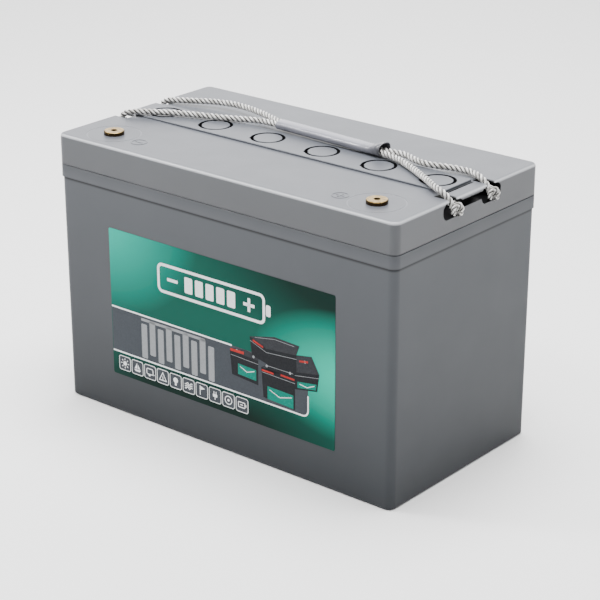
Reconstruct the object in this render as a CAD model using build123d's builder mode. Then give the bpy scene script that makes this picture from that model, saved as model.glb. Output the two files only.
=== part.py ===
"""Deep cycle battery, 12 V absorbed glass mat type with a rope carrying handle.

Six cells stand in a row along X inside one moulded container.  The cover is
set in resin on the container's rim, the two threaded terminals stand on its
front edge, and two ropes through one sleeve make the handle.

Millimetres.  Origin: middle of the underside.  +Z up, the label faces -Y,
the positive terminal is at +X.
"""

from build123d import *
import math
import os

# ---------------------------------------------------------------- driving sizes
LENGTH = 330.0
WIDTH = 176.0
LID_TOP = 222.0
LID_SKIRT = 24.5
COLLAR = 10.3
COLLAR_STEP = 0.8
DRAFT = 0.5
CORNER_R = 6.0
TOP_R = 2.5
BASE_R = 2.0
SEAM_BREAK = 0.45
INNER_CORNER_R = 1.5

FLOOR = 4.0
CAVITY_LENGTH = 320.0
CAVITY_WIDTH = 166.0
PARTITION = 2.5
CELLS = 6

SEAM_Z = LID_TOP - LID_SKIRT
COLLAR_Z = SEAM_Z - COLLAR
CELL_LENGTH = (CAVITY_LENGTH - (CELLS - 1) * PARTITION) / CELLS
CELL_PITCH = CELL_LENGTH + PARTITION
CELL_X = [(i - (CELLS - 1) / 2) * CELL_PITCH for i in range(CELLS)]
PARTITION_X = [(i - (CELLS - 2) / 2) * CELL_PITCH for i in range(CELLS - 1)]

# Tongue and groove joint between container and cover
JOINT_WALL = 2.5
GROOVE = 3.6
TONGUE = 2.4
GROOVE_DEPTH = 8.0
RESIN_TOP_GAP = 0.8
INNER_WALL = 2.0

# Cover plate, its raised middle strip and the six vent wells
PLATE = 4.0
STRIP_LENGTH = 304.0
STRIP_WIDTH = 36.0
STRIP_Y = 2.6
STRIP_RISE = 1.5
STRIP_CORNER_R = 2.5
STRIP_EDGE_R = 0.7
STRIP_Z = LID_TOP + STRIP_RISE
VENT_R = 11.2
VENT_THICK = 2.2
VENT_BREAK = 0.3
MOAT_OUT_R = 13.7
MOAT_IN_R = 10.6
MOAT_DEPTH = 4.2
WELL_R = 9.6
WELL_FLOOR_Z = 206.5
WELL_FLOOR = 2.5
WELL_BOSS_R = 16.0
PRY_R = 1.9
PRY_ANGLE = 221.0
PRY_AT_R = 12.5
CHIMNEY_R = 4.0
CHIMNEY_BORE_R = 2.0
CHIMNEY_HEIGHT = 6.5
VALVE_WALL = 1.4
VALVE_HEIGHT = 9.0
VALVE_EDGE_R = 0.6

# Terminals
TERMINAL_X = 128.5
TERMINAL_Y = -62.0
TERMINAL_R = 8.0
TERMINAL_PROUD = 3.0
TERMINAL_BREAK = 0.4
THREAD_CORE_R = 2.5
THREAD_DEPTH = 12.0
SHANK_R = 6.0
SHANK_DEPTH = 14.0
POST_R = 9.0
POST_TOP_Z = 214.0
POST_CUP = 6.0
SHANK_HOLE_DEPTH = 5.0
PAD_R = 21.5
PAD_LINE = 1.0
PAD_DEPTH = 0.12
BOSS_R = 14.5
BOSS_BORE_R = 11.5
BOSS_Z = 205.0
RING_Z = 207.2
RESIN_Z = 208.5
MARK_X = 98.5
MARK_Y = -65.5
MARK_R = 6.5
MARK_LINE = 0.9
MARK_STROKE = 1.3
MARK_PROUD = 0.25

# Anchor pockets in the two short sides of the cover
ANCHOR_Y = {"front": -20.9, "rear": 26.1}
CUP_WIDTH = 24.0
CUP_LOW_Z = 207.9
CUP_HIGH_Z = 220.4
CUP_R = 5.0
SLOT_LOW_Z = 212.6
SLOT_HIGH_Z = 218.5
NOTCH_WIDTH = 10.0
POCKET_IN_X = 150.5
POCKET_WALL = 3.6
SLIT_X = 153.3
SLIT_WIDTH = 2.4
BAR_END_GAP = 2.2
OVERCUT = 1.0

# Plates, separators, straps
PLATE_WIDTH = 156.0
PLATE_HEIGHT = 158.0
PLATE_Z = 6.0
POSITIVE_THICK = 3.1
NEGATIVE_THICK = 2.1
MAT_THICK = 1.4
MAT_MARGIN = 2.0
POSITIVE_PLATES = 6
LUG_WIDTH = 14.0
LUG_HEIGHT = 10.0
STRAP_Y = 58.0
STRAP_WIDTH = 24.0
STRAP_THICK = 6.0
STRAP_Z = PLATE_Z + PLATE_HEIGHT + LUG_HEIGHT - 1.0
FLAG_HEIGHT = 14.0
FLAG_THICK = 4.0
CELL_GAP = 0.4
WELD_R = 6.0
WELD_Z = STRAP_Z + STRAP_THICK + WELD_R

# Label
LABEL_LENGTH = 225.0
LABEL_HEIGHT = 122.6
LABEL_X = -0.5
LABEL_Z = 94.2
LABEL_THICK = 0.25
LABEL_R = 1.5

# Rope handle
ROPE_R = 2.5
GRIP_LEFT = Vector(-34.8, 27.1, 227.2)
GRIP_RIGHT = Vector(71.6, 21.2, 227.2)
GRIP_WIDTH = 12.2
GRIP_HEIGHT = 7.2
GRIP_WALL = 0.8
FLARE_WIDTH = 14.4
FLARE_HEIGHT = 11.0
FLARE_LENGTH = 14.0
KNOT_R = 5.5
KNOT_EDGE_R = 2.0
KNOT_HOLE_R = 2.0
KNOT_HOLE_DEPTH = 1.6
KNOT_LENGTH = 9.6
KNOT_X = 164.6
KNOT_Y = {"front": -17.4, "rear": 27.7}
KNOT_Z = 213.6

os.makedirs("parts", exist_ok=True)


def save(piece, label):
    """Label a finished piece and write it under the same name."""
    piece.part.label = label
    export_step(piece.part, f"parts/{label}.step")


# ------------------------------------------------------------------- container
with BuildPart() as container:
    with BuildSketch(Plane.XY):
        RectangleRounded(
            LENGTH - 2 * (COLLAR_STEP + DRAFT), WIDTH - 2 * (COLLAR_STEP + DRAFT), CORNER_R
        )
    with BuildSketch(Plane.XY.offset(COLLAR_Z)):
        RectangleRounded(LENGTH - 2 * COLLAR_STEP, WIDTH - 2 * COLLAR_STEP, CORNER_R)
    loft(ruled=True)
    fillet(container.edges().group_by(Axis.Z)[0], BASE_R)
    with BuildSketch(Plane.XY.offset(COLLAR_Z)):
        RectangleRounded(LENGTH, WIDTH, CORNER_R)
    extrude(amount=COLLAR)
    chamfer(container.faces().sort_by(Axis.Z)[-1].outer_wire().edges(), SEAM_BREAK)
    # tongue that stands up into the cover's groove
    tongue_length = LENGTH - 2 * (JOINT_WALL + (GROOVE - TONGUE) / 2)
    tongue_width = WIDTH - 2 * (JOINT_WALL + (GROOVE - TONGUE) / 2)
    with BuildSketch(Plane.XY.offset(SEAM_Z)):
        RectangleRounded(tongue_length, tongue_width, CORNER_R - JOINT_WALL)
    extrude(amount=GROOVE_DEPTH - RESIN_TOP_GAP)
    # the row of cells, cut right up through the tongue
    with BuildSketch(Plane.XY.offset(FLOOR)):
        with GridLocations(CELL_PITCH, 0, CELLS, 1):
            RectangleRounded(CELL_LENGTH, CAVITY_WIDTH, INNER_CORNER_R)
    extrude(amount=SEAM_Z - FLOOR, mode=Mode.SUBTRACT)
    with BuildSketch(Plane.XY.offset(SEAM_Z)):
        RectangleRounded(tongue_length - 2 * TONGUE, tongue_width - 2 * TONGUE, INNER_CORNER_R)
    extrude(amount=GROOVE_DEPTH, mode=Mode.SUBTRACT)
    # weld openings through the partitions, front and rear in turn
    for i, x in enumerate(PARTITION_X):
        side = 1 if i % 2 == 0 else -1
        with BuildSketch(Plane.YZ.offset(x - PARTITION)):
            with Locations((side * STRAP_Y, WELD_Z)):
                Circle(WELD_R)
        extrude(amount=2 * PARTITION, mode=Mode.SUBTRACT)
save(container, "container")

# ----------------------------------------------------------------------- cover
groove_length = LENGTH - 2 * JOINT_WALL
groove_width = WIDTH - 2 * JOINT_WALL
inner_length = groove_length - 2 * GROOVE
inner_width = groove_width - 2 * GROOVE
anchor_mid_y = (ANCHOR_Y["front"] + ANCHOR_Y["rear"]) / 2
anchor_span = ANCHOR_Y["rear"] - ANCHOR_Y["front"]
vent_spots = [(x, STRIP_Y) for x in CELL_X]
pry_dx = PRY_AT_R * math.cos(math.radians(PRY_ANGLE))
pry_dy = PRY_AT_R * math.sin(math.radians(PRY_ANGLE))
pry_spots = [(x + pry_dx, STRIP_Y + pry_dy) for x in CELL_X]
terminal_spots = [(-TERMINAL_X, TERMINAL_Y), (TERMINAL_X, TERMINAL_Y)]

with BuildPart() as cover:
    with BuildSketch(Plane.XY.offset(SEAM_Z)):
        RectangleRounded(LENGTH, WIDTH, CORNER_R)
    extrude(amount=LID_SKIRT)
    fillet(cover.edges().group_by(Axis.Z)[-1], TOP_R)
    chamfer(cover.edges().group_by(Axis.Z)[0], SEAM_BREAK)
    # groove for the tongue, then the hollow inside it
    with BuildSketch(Plane.XY.offset(SEAM_Z)):
        RectangleRounded(groove_length, groove_width, CORNER_R - JOINT_WALL)
        RectangleRounded(inner_length, inner_width, INNER_CORNER_R, mode=Mode.SUBTRACT)
    extrude(amount=GROOVE_DEPTH, mode=Mode.SUBTRACT)
    with BuildSketch(Plane.XY.offset(SEAM_Z)):
        RectangleRounded(
            inner_length - 2 * INNER_WALL, inner_width - 2 * INNER_WALL, INNER_CORNER_R
        )
    extrude(amount=LID_SKIRT - PLATE, mode=Mode.SUBTRACT)
    # ribs that come down on the container's partitions
    with BuildSketch(Plane.XY.offset(SEAM_Z)):
        with Locations([(x, 0) for x in PARTITION_X]):
            Rectangle(PARTITION, inner_width - INNER_WALL)
    extrude(amount=LID_SKIRT - PLATE)
    # bosses round the vent wells and the terminals
    with BuildSketch(Plane.XY.offset(WELL_FLOOR_Z - WELL_FLOOR)):
        with Locations(vent_spots):
            Circle(WELL_BOSS_R)
    extrude(amount=LID_TOP - PLATE - WELL_FLOOR_Z + WELL_FLOOR)
    with BuildSketch(Plane.XY.offset(BOSS_Z)):
        with Locations(terminal_spots):
            Circle(BOSS_R)
    extrude(amount=LID_TOP - PLATE - BOSS_Z)
    # solid blocks that the anchor pockets are cut in
    block_in_x = POCKET_IN_X - POCKET_WALL
    block_out_x = LENGTH / 2 - JOINT_WALL
    with BuildSketch(Plane.XY.offset(SEAM_Z + GROOVE_DEPTH)):
        for side in (-1, 1):
            with Locations((side * (block_in_x + block_out_x) / 2, anchor_mid_y)):
                Rectangle(block_out_x - block_in_x, anchor_span + CUP_WIDTH + 2 * POCKET_WALL)
    extrude(amount=LID_SKIRT - GROOVE_DEPTH - PLATE)
    # raised middle strip
    with BuildSketch(Plane.XY.offset(LID_TOP)):
        with Locations((0, STRIP_Y)):
            RectangleRounded(STRIP_LENGTH, STRIP_WIDTH, STRIP_CORNER_R)
    extrude(amount=STRIP_RISE)
    fillet(cover.edges().group_by(Axis.Z)[-1], STRIP_EDGE_R)
    # vent wells: a ledge for the disc, a moat round it, a deeper well, a prising hole
    with BuildSketch(Plane.XY.offset(STRIP_Z)):
        with Locations(vent_spots):
            Circle(MOAT_OUT_R)
    extrude(amount=-VENT_THICK, mode=Mode.SUBTRACT)
    with BuildSketch(Plane.XY.offset(STRIP_Z - VENT_THICK)):
        with Locations(vent_spots):
            Circle(MOAT_OUT_R)
            Circle(MOAT_IN_R, mode=Mode.SUBTRACT)
    extrude(amount=VENT_THICK - MOAT_DEPTH, mode=Mode.SUBTRACT)
    with BuildSketch(Plane.XY.offset(STRIP_Z)):
        with Locations(pry_spots):
            Circle(PRY_R)
    extrude(amount=-MOAT_DEPTH, mode=Mode.SUBTRACT)
    with BuildSketch(Plane.XY.offset(STRIP_Z)):
        with Locations(vent_spots):
            Circle(WELL_R)
            Circle(CHIMNEY_R, mode=Mode.SUBTRACT)
    extrude(amount=WELL_FLOOR_Z - STRIP_Z, mode=Mode.SUBTRACT)
    with BuildSketch(Plane.XY.offset(WELL_FLOOR_Z + CHIMNEY_HEIGHT)):
        with Locations(vent_spots):
            Circle(WELL_R)
    extrude(amount=STRIP_Z - WELL_FLOOR_Z - CHIMNEY_HEIGHT, mode=Mode.SUBTRACT)
    with BuildSketch(Plane.XY.offset(WELL_FLOOR_Z - WELL_FLOOR)):
        with Locations(vent_spots):
            Circle(CHIMNEY_BORE_R)
    extrude(amount=WELL_FLOOR + CHIMNEY_HEIGHT, mode=Mode.SUBTRACT)
    # terminals: a shallow ring line, hole for the shank, bore for the lead post
    with BuildSketch(Plane.XY.offset(LID_TOP)):
        with Locations(terminal_spots):
            Circle(PAD_R)
            Circle(PAD_R - PAD_LINE, mode=Mode.SUBTRACT)
    extrude(amount=-PAD_DEPTH, mode=Mode.SUBTRACT)
    with BuildSketch(Plane.XY.offset(LID_TOP)):
        with Locations(terminal_spots):
            Circle(SHANK_R)
    extrude(amount=-SHANK_HOLE_DEPTH, mode=Mode.SUBTRACT)
    with BuildSketch(Plane.XY.offset(BOSS_Z)):
        with Locations(terminal_spots):
            Circle(BOSS_BORE_R)
    extrude(amount=LID_TOP - PLATE - BOSS_Z, mode=Mode.SUBTRACT)
    # anchor pockets: two cups and a slot open to the side, two notches open to the top
    pocket_depth = LENGTH / 2 - POCKET_IN_X + OVERCUT
    for side in (-1, 1):
        for y in ANCHOR_Y.values():
            with BuildSketch(Plane.YZ.offset(side * POCKET_IN_X)):
                with Locations((y, (CUP_LOW_Z + CUP_HIGH_Z) / 2)):
                    RectangleRounded(CUP_WIDTH, CUP_HIGH_Z - CUP_LOW_Z, CUP_R)
            extrude(amount=side * pocket_depth, mode=Mode.SUBTRACT)
        with BuildSketch(Plane.YZ.offset(side * POCKET_IN_X)):
            with Locations((anchor_mid_y, (SLOT_LOW_Z + SLOT_HIGH_Z) / 2)):
                Rectangle(anchor_span, SLOT_HIGH_Z - SLOT_LOW_Z)
        extrude(amount=side * pocket_depth, mode=Mode.SUBTRACT)
        notch_out_x = POCKET_IN_X + pocket_depth
        with BuildSketch(Plane.XY.offset(SLOT_HIGH_Z)):
            with Locations(
                [(side * (POCKET_IN_X + notch_out_x) / 2, y) for y in ANCHOR_Y.values()]
            ):
                RectangleRounded(pocket_depth, NOTCH_WIDTH, INNER_CORNER_R)
        extrude(amount=LID_TOP - SLOT_HIGH_Z + OVERCUT, mode=Mode.SUBTRACT)
        slit_length = anchor_span - NOTCH_WIDTH - 2 * BAR_END_GAP
        with BuildSketch(Plane.XY.offset(SLOT_HIGH_Z - OVERCUT)):
            with Locations((side * SLIT_X, anchor_mid_y)):
                Rectangle(SLIT_WIDTH, slit_length)
        extrude(amount=LID_TOP - SLOT_HIGH_Z + 2 * OVERCUT, mode=Mode.SUBTRACT)
    # raised polarity marks: a ring with a minus at -X and a plus at +X
    with BuildSketch(Plane.XY.offset(LID_TOP)):
        with Locations((-MARK_X, MARK_Y), (MARK_X, MARK_Y)):
            Circle(MARK_R)
            Circle(MARK_R - MARK_LINE, mode=Mode.SUBTRACT)
            Rectangle(MARK_R, MARK_STROKE)
        with Locations((MARK_X, MARK_Y)):
            Rectangle(MARK_STROKE, MARK_R)
    extrude(amount=MARK_PROUD)
save(cover, "cover")

# ------------------------------------------------- resin in the joint's groove
with BuildPart() as lid_seal:
    with BuildSketch(Plane.XY.offset(SEAM_Z)):
        RectangleRounded(groove_length, groove_width, CORNER_R - JOINT_WALL)
        RectangleRounded(inner_length, inner_width, INNER_CORNER_R, mode=Mode.SUBTRACT)
    extrude(amount=GROOVE_DEPTH)
    with BuildSketch(Plane.XY.offset(SEAM_Z)):
        RectangleRounded(tongue_length, tongue_width, CORNER_R - JOINT_WALL)
        RectangleRounded(
            tongue_length - 2 * TONGUE,
            tongue_width - 2 * TONGUE,
            INNER_CORNER_R,
            mode=Mode.SUBTRACT,
        )
    extrude(amount=GROOVE_DEPTH - RESIN_TOP_GAP, mode=Mode.SUBTRACT)
save(lid_seal, "lid_seal")

# ------------------------------------------------------------ vents and valves
for i, (x, y) in enumerate(vent_spots, start=1):
    with BuildPart() as vent_cover:
        with BuildSketch(Plane.XY.offset(STRIP_Z - VENT_THICK)):
            with Locations((x, y)):
                Circle(VENT_R)
            with Locations((x + pry_dx, y + pry_dy)):
                Circle(PRY_R, mode=Mode.SUBTRACT)
        extrude(amount=VENT_THICK)
        chamfer(vent_cover.edges().group_by(Axis.Z)[-1], VENT_BREAK)
        # peg that holds the valve cap down
        peg_length = STRIP_Z - VENT_THICK - (WELL_FLOOR_Z + VALVE_HEIGHT)
        with BuildSketch(Plane.XY.offset(WELL_FLOOR_Z + VALVE_HEIGHT)):
            with Locations((x, y)):
                Circle(CHIMNEY_R)
        extrude(amount=peg_length)
    save(vent_cover, f"vent_cover_{i}")

    with BuildPart() as valve:
        with BuildSketch(Plane.XY.offset(WELL_FLOOR_Z)):
            with Locations((x, y)):
                Circle(CHIMNEY_R + VALVE_WALL)
        extrude(amount=VALVE_HEIGHT)
        fillet(valve.edges().group_by(Axis.Z)[-1], VALVE_EDGE_R)
        with BuildSketch(Plane.XY.offset(WELL_FLOOR_Z)):
            with Locations((x, y)):
                Circle(CHIMNEY_R)
        extrude(amount=CHIMNEY_HEIGHT, mode=Mode.SUBTRACT)
    save(valve, f"valve_{i}")

# ------------------------------------------------- terminals, posts and seals
post_base_z = STRAP_Z + STRAP_THICK
for name, (x, y) in zip(("negative", "positive"), terminal_spots):
    top_z = LID_TOP + TERMINAL_PROUD
    with BuildPart() as terminal:
        with BuildSketch(Plane.XY.offset(LID_TOP)):
            with Locations((x, y)):
                Circle(TERMINAL_R)
        extrude(amount=TERMINAL_PROUD)
        chamfer(terminal.edges().group_by(Axis.Z)[-1], TERMINAL_BREAK)
        with BuildSketch(Plane.XY.offset(LID_TOP - SHANK_DEPTH)):
            with Locations((x, y)):
                Circle(SHANK_R)
        extrude(amount=SHANK_DEPTH)
        with BuildSketch(Plane.XY.offset(top_z)):
            with Locations((x, y)):
                Circle(THREAD_CORE_R)
        extrude(amount=-THREAD_DEPTH, mode=Mode.SUBTRACT)
    save(terminal, f"{name}_terminal")

    with BuildPart() as post:
        with BuildSketch(Plane.XY.offset(post_base_z)):
            with Locations((x, y)):
                Circle(POST_R)
        extrude(amount=POST_TOP_Z - post_base_z)
        with BuildSketch(Plane.XY.offset(POST_TOP_Z)):
            with Locations((x, y)):
                Circle(SHANK_R)
        extrude(amount=-POST_CUP, mode=Mode.SUBTRACT)
    save(post, f"{name}_post")

    ring_section_r = (BOSS_BORE_R - POST_R) / 2
    with BuildPart() as ring:
        with BuildSketch(Plane(origin=(x, y, RING_Z), x_dir=(1, 0, 0), z_dir=(0, -1, 0))):
            with Locations((POST_R + ring_section_r, 0)):
                Circle(ring_section_r)
        revolve(axis=Axis((x, y, RING_Z), (0, 0, 1)))
    save(ring, f"{name}_o_ring")

    with BuildPart() as resin:
        with BuildSketch(Plane.XY.offset(RESIN_Z)):
            with Locations((x, y)):
                Circle(BOSS_BORE_R)
                Circle(POST_R, mode=Mode.SUBTRACT)
        extrude(amount=POST_TOP_Z - RESIN_Z)
    save(resin, f"{name}_terminal_resin")

# ------------------------------------------------------- the six cells' stacks
negative_plates = POSITIVE_PLATES + 1
pair_pitch = POSITIVE_THICK + NEGATIVE_THICK + 2 * MAT_THICK
positive_dx = [(k - (POSITIVE_PLATES - 1) / 2) * pair_pitch for k in range(POSITIVE_PLATES)]
negative_dx = [(k - (negative_plates - 1) / 2) * pair_pitch for k in range(negative_plates)]
mat_offset = (POSITIVE_THICK + MAT_THICK) / 2
mat_dx = [dx + s * mat_offset for dx in positive_dx for s in (-1, 1)]
plate_mid_z = PLATE_Z + PLATE_HEIGHT / 2


def plate_group(x, offsets, thick, side, flag):
    """Plates, their lugs and the cast strap of one polarity.

    side is +1 for a strap at the rear and -1 at the front; flag is +1, -1 or 0
    for an upstand against the partition at +X, at -X, or none."""
    with BuildPart() as group:
        with BuildSketch(Plane.XY.offset(PLATE_Z)):
            with Locations([(x + dx, 0) for dx in offsets]):
                Rectangle(thick, PLATE_WIDTH)
        extrude(amount=PLATE_HEIGHT)
        with BuildSketch(Plane.XY.offset(PLATE_Z + PLATE_HEIGHT)):
            with Locations([(x + dx, side * STRAP_Y) for dx in offsets]):
                Rectangle(thick, LUG_WIDTH)
        extrude(amount=LUG_HEIGHT)
        strap_length = CELL_LENGTH - 2 * CELL_GAP
        with BuildSketch(Plane.XY.offset(STRAP_Z)):
            with Locations((x, side * STRAP_Y)):
                RectangleRounded(strap_length, STRAP_WIDTH, INNER_CORNER_R)
        extrude(amount=STRAP_THICK)
        if flag:
            flag_x = x + flag * (strap_length - FLAG_THICK) / 2
            with BuildSketch(Plane.XY.offset(STRAP_Z)):
                with Locations((flag_x, side * STRAP_Y)):
                    Rectangle(FLAG_THICK, LUG_WIDTH)
            extrude(amount=STRAP_THICK + FLAG_HEIGHT)
    return group


for i, x in enumerate(CELL_X, start=1):
    # the positive strap of each cell lies beside the negative strap of the next
    positive_side = 1 if i % 2 == 1 else -1
    positive_flag = 1 if i < CELLS else 0
    negative_flag = -1 if i > 1 else 0
    positive = plate_group(x, positive_dx, POSITIVE_THICK, positive_side, positive_flag)
    save(positive, f"cell_{i}_positive_group")
    negative = plate_group(x, negative_dx, NEGATIVE_THICK, -positive_side, negative_flag)
    save(negative, f"cell_{i}_negative_group")

    with BuildPart() as separators:
        with BuildSketch(Plane.XY.offset(PLATE_Z - MAT_MARGIN)):
            with Locations([(x + dx, 0) for dx in mat_dx]):
                Rectangle(MAT_THICK, PLATE_WIDTH + 2 * MAT_MARGIN)
        extrude(amount=PLATE_HEIGHT + 2 * MAT_MARGIN)
    save(separators, f"cell_{i}_separators")

for i, x in enumerate(PARTITION_X, start=1):
    weld_side = 1 if i % 2 == 1 else -1
    weld_length = PARTITION + 2 * CELL_GAP
    with BuildPart() as weld:
        with BuildSketch(Plane.YZ.offset(x - weld_length / 2)):
            with Locations((weld_side * STRAP_Y, WELD_Z)):
                Circle(WELD_R)
        extrude(amount=weld_length)
    save(weld, f"intercell_connector_{i}")

# ----------------------------------------------------------------------- label
lean = math.atan(DRAFT / COLLAR_Z)
face_y = WIDTH / 2 - COLLAR_STEP - DRAFT * (1 - LABEL_Z / COLLAR_Z)
face_plane = Plane(
    origin=(LABEL_X, -face_y, LABEL_Z),
    x_dir=(1, 0, 0),
    z_dir=(0, -math.cos(lean), -math.sin(lean)),
)
with BuildPart() as label:
    with BuildSketch(face_plane):
        RectangleRounded(LABEL_LENGTH, LABEL_HEIGHT, LABEL_R)
    extrude(amount=LABEL_THICK)
save(label, "front_label")

# ------------------------------------------------------------------------ grip
# A flattened sleeve round both ropes; its right end is belled out and upwards.
grip_axis = (GRIP_RIGHT - GRIP_LEFT).normalized()
grip_length = (GRIP_RIGHT - GRIP_LEFT).length
grip_across = Vector(-grip_axis.Y, grip_axis.X, 0)
flare_start = grip_length - FLARE_LENGTH
flare_rise = (FLARE_HEIGHT - GRIP_HEIGHT) / 2
SECTION_R_SHARE = 0.49


def across_grip(along, rise=0.0):
    """Plane across the sleeve at a distance along it, its middle raised by rise."""
    middle = GRIP_LEFT + grip_axis * along + Vector(0, 0, rise)
    return Plane(origin=middle, x_dir=grip_across, z_dir=grip_axis)


bore_width = GRIP_WIDTH - 2 * GRIP_WALL
bore_height = GRIP_HEIGHT - 2 * GRIP_WALL
bell_width = FLARE_WIDTH - 2 * GRIP_WALL
bell_height = FLARE_HEIGHT - 2 * GRIP_WALL

with BuildPart() as grip:
    with BuildSketch(across_grip(0)):
        RectangleRounded(GRIP_WIDTH, GRIP_HEIGHT, SECTION_R_SHARE * GRIP_HEIGHT)
    extrude(amount=flare_start)
    with BuildSketch(across_grip(flare_start)):
        RectangleRounded(GRIP_WIDTH, GRIP_HEIGHT, SECTION_R_SHARE * GRIP_HEIGHT)
    with BuildSketch(across_grip(grip_length, flare_rise)):
        RectangleRounded(FLARE_WIDTH, FLARE_HEIGHT, SECTION_R_SHARE * FLARE_HEIGHT)
    loft()
    with BuildSketch(across_grip(0)):
        RectangleRounded(bore_width, bore_height, SECTION_R_SHARE * bore_height)
    extrude(amount=flare_start, mode=Mode.SUBTRACT)
    with BuildSketch(across_grip(flare_start)):
        RectangleRounded(bore_width, bore_height, SECTION_R_SHARE * bore_height)
    with BuildSketch(across_grip(grip_length, flare_rise)):
        RectangleRounded(bell_width, bell_height, SECTION_R_SHARE * bell_height)
    loft(mode=Mode.SUBTRACT)
save(grip, "handle_grip")

# ----------------------------------------------------------------------- ropes
# Each route runs from inside the grip out over the lid and down into its notch.
ROUTES = {
    ("front", "right"): [
        (65.4653, 18.9362, 227.2),
        (73.4530, 18.4933, 227.2),
        (88.5, 15.8, 226.7),
        (103.5, 8.6, 226.3),
        (119.5, -0.8, 226.3),
        (134.5, -10.4, 226.3),
        (147.0, -18.3, 225.8),
        (155.6, -21.6, 225.3),
        (161.2, -21.2, 221.0),
        (162.6, -19.4, 215.4),
    ],
    ("rear", "right"): [
        (65.7532, 24.1282, 227.2),
        (73.7409, 23.6853, 227.2),
        (86.0, 26.6, 227.4),
        (98.5, 22.3, 226.5),
        (111.0, 19.9, 226.3),
        (122.0, 23.0, 226.2),
        (132.5, 28.2, 225.4),
        (144.5, 29.4, 225.0),
        (155.0, 25.2, 225.0),
        (161.2, 24.2, 221.2),
        (162.8, 26.4, 215.4),
    ],
    ("front", "left"): [
        (-28.9532, 24.1718, 227.2),
        (-36.9409, 24.6147, 227.2),
        (-52.5, 25.2, 227.0),
        (-68.5, 19.9, 226.4),
        (-84.5, 12.6, 226.3),
        (-101.0, 7.2, 226.4),
        (-116.5, 1.2, 226.3),
        (-131.5, -7.0, 226.3),
        (-145.5, -15.6, 226.3),
        (-155.0, -20.3, 225.3),
        (-161.2, -21.0, 221.0),
        (-162.6, -19.4, 215.4),
    ],
    ("rear", "left"): [
        (-28.6653, 29.3638, 227.2),
        (-36.6530, 29.8067, 227.2),
        (-51.0, 34.2, 228.0),
        (-67.5, 39.0, 228.2),
        (-85.0, 42.6, 228.2),
        (-102.0, 43.2, 227.8),
        (-118.0, 40.6, 227.0),
        (-132.5, 35.2, 226.0),
        (-146.5, 29.6, 225.4),
        (-155.2, 27.4, 224.9),
        (-161.2, 27.2, 221.0),
        (-162.6, 27.4, 215.4),
    ],
}

for name in ANCHOR_Y:
    core_left = Vector(ROUTES[name, "left"][0])
    core_right = Vector(ROUTES[name, "right"][0])
    with BuildPart() as core:
        with BuildSketch(Plane(origin=core_left, z_dir=core_right - core_left)):
            Circle(ROPE_R)
        extrude(amount=(core_right - core_left).length)
    save(core, f"rope_{name}_core")


def arc_radii(points):
    """0.45 of each corner's shorter run over the tangent of half its turn."""
    radii = []
    for before, corner, after in zip(points, points[1:], points[2:]):
        run_in = corner - before
        run_out = after - corner
        turn = run_in.get_angle(run_out)
        shorter = min(run_in.length, run_out.length)
        radii.append(0.45 * shorter / math.tan(math.radians(turn / 2)))
    return radii


for (name, side), route_points in ROUTES.items():
    points = [Vector(p) for p in route_points]
    radii = arc_radii(points)
    with BuildPart() as rope:
        with BuildLine() as route:
            FilletPolyline(*points, radius=radii)
        with BuildSketch(Plane(origin=points[0], z_dir=points[1] - points[0])):
            Circle(ROPE_R)
        sweep(path=route.wire())
    length = route.wire().length
    share = rope.part.volume / (math.pi * ROPE_R**2 * length)
    print(f"rope {name} {side}: {length:.1f} long, volume share {share:.3f}")
    print("  radii", " ".join(f"{r:.0f}" for r in radii))
    save(rope, f"rope_{name}_{side}")

# ----------------------------------------------------------------------- knots
for side_name, side in (("left", -1), ("right", 1)):
    for name, y in KNOT_Y.items():
        with BuildPart() as knot:
            with BuildSketch(Plane.YZ.offset(side * (KNOT_X - KNOT_LENGTH / 2))):
                with Locations((y, KNOT_Z)):
                    Circle(KNOT_R)
            extrude(amount=side * KNOT_LENGTH)
            fillet(knot.edges(), KNOT_EDGE_R)
            with BuildSketch(Plane.YZ.offset(side * (KNOT_X + KNOT_LENGTH / 2))):
                with Locations((y, KNOT_Z)):
                    Circle(KNOT_HOLE_R)
            extrude(amount=-side * KNOT_HOLE_DEPTH, mode=Mode.SUBTRACT)
        save(knot, f"knot_{name}_{side_name}")
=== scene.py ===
"""Deep cycle battery with a twin rope handle: the finished look.

One section for each piece or group of like pieces, in the order in which the
battery is put together round its handle.  Metres, in the frame's own axes:
the label faces -Y, the positive terminal is at +X, the base stands on Z = 0."""

import math

import bmesh
import bpy
import numpy as np
from mathutils import Matrix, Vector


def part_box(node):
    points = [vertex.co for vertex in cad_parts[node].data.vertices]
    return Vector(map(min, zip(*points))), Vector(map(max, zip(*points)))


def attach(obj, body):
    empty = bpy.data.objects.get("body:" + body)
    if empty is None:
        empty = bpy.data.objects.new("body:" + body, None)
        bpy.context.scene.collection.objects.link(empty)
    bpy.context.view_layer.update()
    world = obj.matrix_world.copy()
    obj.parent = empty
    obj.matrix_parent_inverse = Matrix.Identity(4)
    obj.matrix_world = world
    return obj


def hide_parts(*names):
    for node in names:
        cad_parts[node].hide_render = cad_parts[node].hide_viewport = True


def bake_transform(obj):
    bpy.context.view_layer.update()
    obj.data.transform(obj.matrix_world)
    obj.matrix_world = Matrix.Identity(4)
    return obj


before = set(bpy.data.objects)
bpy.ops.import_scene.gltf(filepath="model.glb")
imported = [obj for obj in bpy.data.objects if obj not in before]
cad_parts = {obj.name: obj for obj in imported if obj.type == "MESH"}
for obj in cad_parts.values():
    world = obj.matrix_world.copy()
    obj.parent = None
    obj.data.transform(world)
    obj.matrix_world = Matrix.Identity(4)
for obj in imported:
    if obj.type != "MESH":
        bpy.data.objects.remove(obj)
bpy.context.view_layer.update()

# ------------------------------------------------------------ camera and studio
# A long lens a little above the cover looks at the corner between the label
# side and the positive end; floor and soft lights are plain.
CAMERA_TURN = math.radians(39.58)
CAMERA_RISE = math.radians(21.89)
CAMERA_REACH = 1.551
CAMERA_LENS = 119.08
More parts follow.
